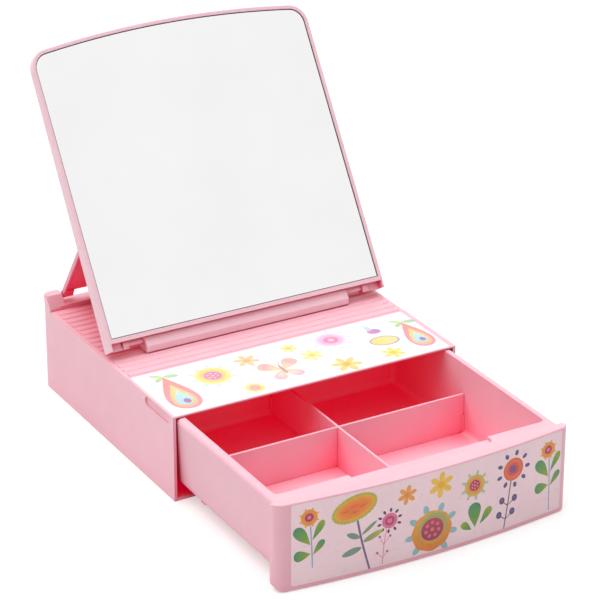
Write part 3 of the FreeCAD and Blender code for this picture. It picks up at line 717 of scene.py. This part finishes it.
def front_garden(sheet):
    upright_flower(sheet, -100.0, 16.0)
    upright_flower(sheet, 104.4, 5.6)

    sheet.ribbon([(-62.4, 46.5), (-58.4, 27.0), (-52.3, 3.9)], 1.7, 0, VIOLET, 0.9)
    leaf(sheet, (-58.8, 33.4), (-46.6, 42.4), 3.0, SAGE, SAGE, 1)
    leaf(sheet, (-57.6, 27.4), (-41.6, 33.6), 5.0, SAGE, OLIVE, 1)
    leaf(sheet, (-60.2, 31.4), (-70.8, 36.6), 4.6, SAGE, GREY_TEAL, 1)
    leaf(sheet, (-58.8, 23.2), (-74.6, 19.4), 5.4, SAGE, GREY_TEAL, 1)
    sheet.island(oval(-64.6, 56.4, 18.4, 10.6, 15.0, 0.025, 32, 128), (-64.6, 56.4), 1, flat(OLIVE))
    sheet.island(oval(-64.6, 56.4, 16.2, 8.6, 15.0, count=48), (-64.6, 56.4), 2,
                 fade([(0.0, (240, 116, 52)), (0.7, ORANGE), (1.0, AMBER)]))
    for x, y, angle in ((-72.0, 55.0, 12.0), (-65.4, 58.4, 15.0), (-58.0, 57.6, 18.0), (-64.0, 53.4, 14.0)):
        sheet.island(oval(x, y, 3.4, 0.7, angle, count=16), (x, y), 3, flat((232, 98, 58)))

    sheet.ribbon([(-38.6, 33.0), (-40.6, 21.0), (-41.9, 5.0)], 0.6, 0, ROSE)
    for start, end in (((-40.7, 21.5), (-35.6, 27.0)), ((-40.8, 20.6), (-44.2, 28.0)),
                       ((-41.4, 10.6), (-38.0, 14.8)), ((-41.5, 9.8), (-46.2, 15.2))):
        sheet.ribbon([start, end], 0.5, 0, ROSE)
        sheet.island(oval(*end, 1.0, count=12), end, 1, flat((190, 70, 110)))
    for x, y, angle in ring_of(-36.2, 39.4, 8.6, 10, 84.0):
        sheet.island(oval(x, y, 1.7, 1.05, angle, count=14), (x, y), 0, flat(PLUM))
    sheet.island(oval(-36.2, 39.4, 6.3, frill=0.02, lobes=12, count=48), (-36.2, 39.4), 1, flat(ROSE))
    sheet.island(oval(-36.2, 39.4, 4.0, count=26), (-36.2, 39.4), 2, flat((196, 60, 112)))
    sheet.island(oval(-36.2, 39.4, 2.0, count=16), (-36.2, 39.4), 3, flat((232, 122, 142)))

    daisy(sheet, -22.0, 56.6, 8.0, 6, (242, 160, 66), (238, 140, 50), start=78.0)
    daisy(sheet, 6.6, 57.4, 10.6, 6, (246, 196, 66), (240, 176, 50), start=84.0)

    for x, y, angle in ring_of(-0.6, 21.6, 18.4, 9, 66.0):
        if y < 6.6:
            continue
        sheet.island(oval(x, y, 4.2, 2.5, angle, count=20), (x, y), 0,
                     along((-0.6, 21.6), (x, y + 3.0), MINT, (150, 190, 196)))
    sheet.island(oval(-0.6, 21.4, 16.9, 16.4, 0.0, 0.02, 8, 64), (-0.6, 21.4), 1,
                 along((-0.6, 6.0), (-0.6, 38.0), (226, 128, 42), (232, 170, 50)))
    sheet.island(oval(0.6, 23.4, 13.0, 12.4, 20.0), (0.6, 23.4), 2,
                 along((-0.6, 10.0), (2.0, 34.0), (230, 150, 48), (164, 172, 106)))
    sheet.island(oval(-0.2, 22.6, 9.6, 9.2), (-0.2, 22.6), 3,
                 along((-2.0, 12.0), (2.0, 32.0), (150, 36, 84), (190, 62, 92)))
    for x, y, _ in ring_of(-0.2, 22.6, 5.6, 7):
        sheet.island(oval(x, y, 1.5, count=14), (x, y), 4, flat((222, 110, 120)))
    sheet.island(oval(-0.2, 22.6, 1.7, count=14), (-0.2, 22.6), 4, flat((226, 120, 104)))

    rosette(sheet, 36.2, 48.4, 9.0, (206, 186, 92), ORANGE, MAGENTA, (238, 150, 130), 9, MINT)
    drop(sheet, (37.4, 13.0), (36.4, 34.0), 11.4, (120, 160, 30), TEAL, 1)
    drop(sheet, (41.6, 14.6), (51.6, 26.6), 6.4, TEAL, GREEN, 1)
    drop(sheet, (34.4, 12.0), (25.4, 19.4), 6.0, TEAL, GREEN, 1)

    sheet.ribbon([(69.4, 42.6), (67.0, 23.0), (64.2, 3.9)], 0.9, 0, (76, 54, 76))
    for start, end in (((66.9, 22.6), (61.6, 27.2)), ((67.0, 22.8), (73.2, 26.6)),
                       ((65.4, 11.6), (59.2, 15.8)), ((65.5, 11.8), (71.4, 15.8))):
        sheet.ribbon([start, end], 0.7, 0, (76, 54, 76))
        sheet.island(oval(end[0], end[1] + 0.6, 2.5, 2.9, count=18), (end[0], end[1] + 0.6), 1,
                     fade([(0.0, VIOLET), (0.8, (96, 70, 124)), (1.0, PLUM)]))
    for x, y, angle in ring_of(71.3, 51.4, 13.2, 9, 78.0):
        sheet.island(oval(x, y, 2.3, 1.6, angle, count=16), (x, y), 0, flat((92, 72, 132)))
    sheet.island(oval(71.3, 51.4, 9.1, 9.3), (71.3, 51.4), 1,
                 fade([(0.0, (240, 120, 60)), (0.7, (240, 112, 58)), (1.0, (228, 96, 66))]))
    sheet.island(oval(71.1, 51.6, 5.6, count=28), (71.1, 51.6), 2, flat((222, 76, 78)))
    sheet.island(oval(70.9, 51.8, 3.3, count=20), (70.9, 51.8), 3,
                 fade([(0.0, (106, 76, 150)), (1.0, (142, 66, 120))]))


# ---------------------------------------------------------------- the top's print

def top_garden(sheet):
    for base, tip, width in (((-101.0, -49.5), (-104.0, -107.5), 26.0),
                             ((110.4, -56.0), (107.6, -104.0), 21.0)):
        drop(sheet, base, tip, width, (230, 150, 140), (226, 148, 168), 0)
        mid = (base[0] + (tip[0] - base[0]) * 0.26, base[1] + (tip[1] - base[1]) * 0.26)
        end = (tip[0] - 0.2, tip[1] + 3.2)
        drop(sheet, mid, end, width * 0.74, (250, 214, 140), (244, 186, 138), 1)
        mid = (base[0] + (tip[0] - base[0]) * 0.44, base[1] + (tip[1] - base[1]) * 0.44)
        end = (tip[0] - 0.2, tip[1] + 7.4)
        drop(sheet, mid, end, width * 0.5, (188, 226, 232), (174, 208, 226), 2)
        eye = (tip[0] + 1.6, tip[1] + 13.0)
        sheet.island(oval(*eye, width * 0.11, width * 0.15, count=18), eye, 3, flat((168, 116, 168)))
        leaf(sheet, (base[0] + 0.4, base[1] - 0.6), (base[0] + 12.6, base[1] - 3.4), 5.6,
             (186, 208, 140), (160, 206, 180), 0)
        leaf(sheet, (base[0] - 0.4, base[1] - 0.6), (base[0] - 8.4, base[1] - 6.8), 4.6,
             (196, 212, 140), (168, 204, 160), 0)
        leaf(sheet, (base[0], base[1]), (base[0] - 8.8, base[1] + 5.4), 4.4,
             (204, 216, 150), (176, 210, 176), 0)

    rosette(sheet, -66.0, -67.0, 14.2, (242, 222, 138), (246, 200, 130), (214, 132, 176),
            (246, 196, 170), 10, (206, 230, 210))
    rosette(sheet, -47.6, -101.0, 7.6, (246, 220, 140), (246, 200, 130), (206, 150, 176),
            (246, 206, 180), 8, (216, 232, 208))

    butterfly(sheet, -13.5, -84.0)
    daisy(sheet, -31.0, -57.0, 10.4, 6, (248, 200, 150), (244, 176, 128), start=96.0)

    daisy(sheet, 8.3, -54.0, 7.4, 6, (250, 222, 140), (246, 204, 110))
    daisy(sheet, 18.2, -73.6, 9.6, 6, (250, 224, 140), (246, 206, 112), start=80.0)
    daisy(sheet, 34.0, -100.4, 12.6, 6, (250, 206, 120), (244, 178, 92), start=102.0)
    daisy(sheet, 76.2, -100.6, 9.8, 6, (250, 222, 110), (244, 200, 86), start=84.0)

    for x, y, angle in ring_of(44.6, -57.2, 15.6, 9, 74.0):
        sheet.island(oval(x, y, 2.6, 1.5, angle, count=14), (x, y), 0, flat((208, 220, 232)))
    sheet.island(oval(44.6, -57.2, 13.0, 12.0), (44.6, -57.2), 1,
                 fade([(0.0, (226, 158, 196)), (0.55, (222, 170, 206)), (1.0, (240, 222, 240))]))
    sheet.island(oval(44.8, -57.4, 6.0, 5.4, count=26), (44.8, -57.4), 2, flat((230, 134, 172)))
    sheet.island(oval(45.0, -57.4, 2.6, count=16), (45.0, -57.4), 3, flat((248, 196, 200)))

    sheet.island(oval(81.4, -79.0, 12.6, 8.4, -8.0, count=40), (81.4, -79.0), 0, flat((186, 160, 176)))
    sheet.island(oval(81.4, -79.0, 11.0, 6.9, -8.0, count=40), (81.4, -79.0), 1,
                 along((70.0, -79.0), (93.0, -79.0), (240, 214, 116), (222, 220, 160)))
    sheet.island(oval(82.6, -60.6, 5.8, 4.4, -6.0, count=28), (82.6, -60.6), 0,
                 along((77.0, -60.0), (88.0, -60.0), (214, 128, 176), (176, 140, 200)))
    drop(sheet, (80.6, -47.6), (80.0, -58.0), 6.4, (188, 220, 240), (196, 216, 240), 1)


def butterfly(sheet, cx, cy):
    """Four plain rounded wings and a slim body."""
    for side in (-1, 1):
        hinge = (cx + 0.9 * side, cy)
        drop(sheet, hinge, (cx + 15.0 * side, cy + 14.0), 13.0, (250, 208, 150), (242, 176, 168), 0)
        drop(sheet, (hinge[0] + 3.0 * side, cy + 3.0), (cx + 12.4 * side, cy + 11.4), 7.4,
             (248, 222, 176), (226, 158, 190), 1)
        drop(sheet, hinge, (cx + 10.4 * side, cy - 14.6), 10.4, (250, 214, 156), (236, 180, 196), 0)
        drop(sheet, (hinge[0] + 2.0 * side, cy - 3.6), (cx + 8.8 * side, cy - 12.0), 5.4,
             (252, 230, 180), (206, 190, 222), 1)
        feeler = [(cx + 0.3 * side, cy + 7.0), (cx + 2.6 * side, cy + 12.0), (cx + 5.4 * side, cy + 14.6)]
        sheet.ribbon(feeler, 0.6, 2, (196, 148, 150), 0.7)
    sheet.island(oval(cx, cy, 1.5, 8.2, count=24), (cx, cy), 3, flat((206, 150, 150)))


# ---------------------------------------------------------------- label sheets

FRONT_CORNER = 1.6
FRONT_COLUMNS = 46
TOP_CORNER = 1.2
TOP_COLUMNS = 40
LABEL_ROWS = 12


def label_columns(u0, u1, corner, steps):
    """Places of the sheet's columns, closer together along its rounded corners."""
    even = [u0 + (u1 - u0) * k / steps for k in range(steps + 1)]
    rounding = [corner * (1.0 - math.cos(math.radians(a))) for a in (0.0, 30.0, 60.0)]
    ends = [u0 + c for c in rounding] + [u0 + corner, u1 - corner] + [u1 - c for c in rounding]
    return sorted(set(ends + [u for u in even if u0 + corner <= u <= u1 - corner]))


def corner_cut(edge, corner):
    """How much a rounded corner takes off a column that stands edge from the sheet's side."""
    if edge >= corner:
        return 0.0
    return corner - math.sqrt(max(0.0, corner ** 2 - (corner - edge) ** 2))


def label_faces(top, under):
    """Closed skin between two grids of vertex numbers."""
    rows = len(top[0]) - 1
    faces = []
    for grid, flip in ((top, False), (under, True)):
        for a, b in zip(grid, grid[1:]):
            for k in range(rows):
                quad = (a[k], b[k], b[k + 1], a[k + 1])
                faces.append(quad[::-1] if flip else quad)
    for (a, b), (c, d) in zip(zip(top, top[1:]), zip(under, under[1:])):
        faces.append((a[0], c[0], d[0], b[0]))
        faces.append((b[-1], d[-1], c[-1], a[-1]))
    for k in range(rows):
        faces.append((top[0][k + 1], under[0][k + 1], under[0][k], top[0][k]))
        faces.append((top[-1][k], under[-1][k], under[-1][k + 1], top[-1][k + 1]))
    return faces


def label_mesh(name, place, low, high, corner, steps, film):
    """Thin closed sheet following its surface, with rounded corners."""
    (u0, v0), (u1, v1) = low, high
    verts = []
    grids = []
    for height in (LABEL_T, 0.0):
        grid = []
        for u in label_columns(u0, u1, corner, steps):
            cut = corner_cut(min(u - u0, u1 - u), corner)
            column = []
            for k in range(LABEL_ROWS + 1):
                v = (v0 + cut) + (v1 - v0 - 2.0 * cut) * k / LABEL_ROWS
                column.append(len(verts))
                verts.append(place(u, v, height))
            grid.append(column)
        grids.append(grid)
    mesh = bpy.data.meshes.new(name)
    mesh.from_pydata(verts, [], label_faces(*grids))
    mesh.materials.append(film)
    return mesh


def add_labels():
    front_film = paper("front_film", (255, 225, 231), (251, 218, 225))
    top_film = paper("top_film", (250, 243, 245), (246, 237, 240))
    inks = ink("print_ink")
    lo, hi = front_low / MM, front_high / MM
    mesh = label_mesh("front_sheet", on_front, (lo.x, lo.z), (hi.x, hi.z),
                      FRONT_CORNER, FRONT_COLUMNS, front_film)
    sheet = add_piece(mesh, "front_sheet", "drawer")
    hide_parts("drawer_label")
    flowers = Print("front_flowers", on_front)
    front_garden(flowers)
    flowers.build(inks, "drawer")

    lo, hi = top_low / MM, top_high / MM
    mesh = label_mesh("top_sheet", on_top, (lo.x, lo.y), (hi.x, hi.y),
                      TOP_CORNER, TOP_COLUMNS, top_film)
    sheet = add_piece(mesh, "top_sheet", "case")
    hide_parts("top_label")
    flowers = Print("top_flowers", on_top)
    top_garden(flowers)
    flowers.build(inks, "case")


# ---------------------------------------------------------------- dark edge of the mirror (mm)

FRAME_W = 248.4
FRAME_TOP = 241.8
ARC_R = 850.0
CORNER_R = 16.0
CORNER_STEPS = 10
ARC_STEPS = 14
BEZEL_W = 3.2
EDGE_LAP = 0.3
EDGE_REACH = 0.75
EDGE_TOP = 0.1
EDGE_UNDER = -0.05
EDGE_FOOT_OUTER = -0.3
EDGE_FOOT_INNER = 0.7
MIRROR_TILT = 33.5
GLASS_FOOT = Vector((0.0, -3.35, 88.08))


def on_glass(x, y, z):
    """Mirror coordinates (across, up the glass, out of it) as a point of the common frame."""
    turn = Matrix.Rotation(math.radians(90.0 - MIRROR_TILT), 4, "X")
    return (turn @ Vector((x, y, z)) + GLASS_FOOT) * MM


def glass_outline(inset, bottom):
    """Arched outline with rounded upper corners, in mirror coordinates."""
    half = FRAME_W / 2.0 - inset
    radius = CORNER_R - inset
    hub_y = FRAME_TOP - inset - ARC_R
    corner_x = half - radius
    corner_y = hub_y + math.sqrt((ARC_R - radius) ** 2 - corner_x ** 2)
    last = math.atan2(corner_y - hub_y, corner_x)
    right = [(half, bottom), (half, corner_y * 0.33), (half, corner_y * 0.66)]
    bend = [last * k / CORNER_STEPS for k in range(CORNER_STEPS + 1)]
    right += [(corner_x + radius * math.cos(a), corner_y + radius * math.sin(a)) for a in bend]
    sweep = [last + (math.pi / 2.0 - last) * k / ARC_STEPS for k in range(1, ARC_STEPS + 1)]
    right += [(ARC_R * math.cos(a), hub_y + ARC_R * math.sin(a)) for a in sweep]
    left = [(-x, y) for x, y in reversed(right[:-1])]
    return right + left


def add_mirror_edge():
    """Dark line on the glass just inside the bezel."""
    outer = glass_outline(BEZEL_W - EDGE_LAP, EDGE_FOOT_OUTER)
    inner = glass_outline(BEZEL_W + EDGE_REACH, EDGE_FOOT_INNER)
    count = len(outer)
    low = 2 * count
    verts = [on_glass(x, y, z) for z in (EDGE_TOP, EDGE_UNDER) for loop in (outer, inner) for x, y in loop]
    faces = []
    for i in range(count):
        j = (i + 1) % count
        oi, oj, ii, ij = i, j, count + i, count + j
        faces.append((oi, oj, ij, ii))
        faces.append((low + ii, low + ij, low + oj, low + oi))
        faces.append((oj, oi, low + oi, low + oj))
        faces.append((ii, ij, low + ij, low + ii))
    mesh = bpy.data.meshes.new("mirror_edge")
    mesh.from_pydata(verts, [], faces)
    mesh.materials.append(dark_line_paint("edge_dark"))
    add_piece(mesh, "mirror_edge", "mirror")


scene.view_settings.view_transform = "Standard"
add_camera()
add_floor()
add_light()
paint_nodes()
add_labels()
add_mirror_edge()
